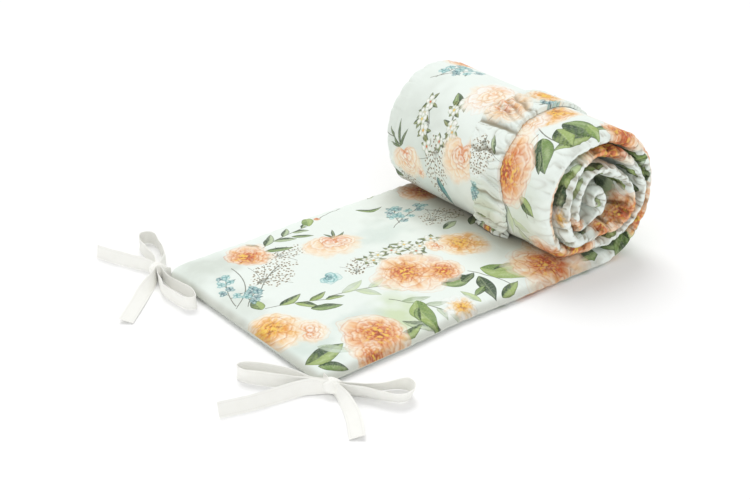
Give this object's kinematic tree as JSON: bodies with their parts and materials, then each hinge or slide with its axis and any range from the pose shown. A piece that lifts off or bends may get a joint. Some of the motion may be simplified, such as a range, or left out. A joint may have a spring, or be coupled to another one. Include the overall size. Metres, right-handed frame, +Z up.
{
  "type": "padded crib bumper, part rolled up",
  "caption": "Padded fabric crib bumper with its free end laid flat and the rest rolled up, a gathered strap across the roll and a tape bow at each free corner.",
  "frame": {"origin": "centre of the bounding box's base, on the surface the bumper lies on", "axes": "+X along the strip from its free end towards the roll, +Y across the strip and along the roll's axis, +Z up"},
  "size_m": [0.5874, 0.4728, 0.1653],
  "materials": {
    "printed_cotton": "matt pale mint cotton with a watercolour flower and leaf print",
    "printed_cotton_band": "the same printed cotton, gathered in fine pleats",
    "ivory_tape": "matt ivory cotton tape"
  },
  "bodies": {
    "root": {"bumper": "printed_cotton", "gathered_band": "printed_cotton_band", "tie_front": "ivory_tape", "tie_back": "ivory_tape"}
  },
  "joints": []
}
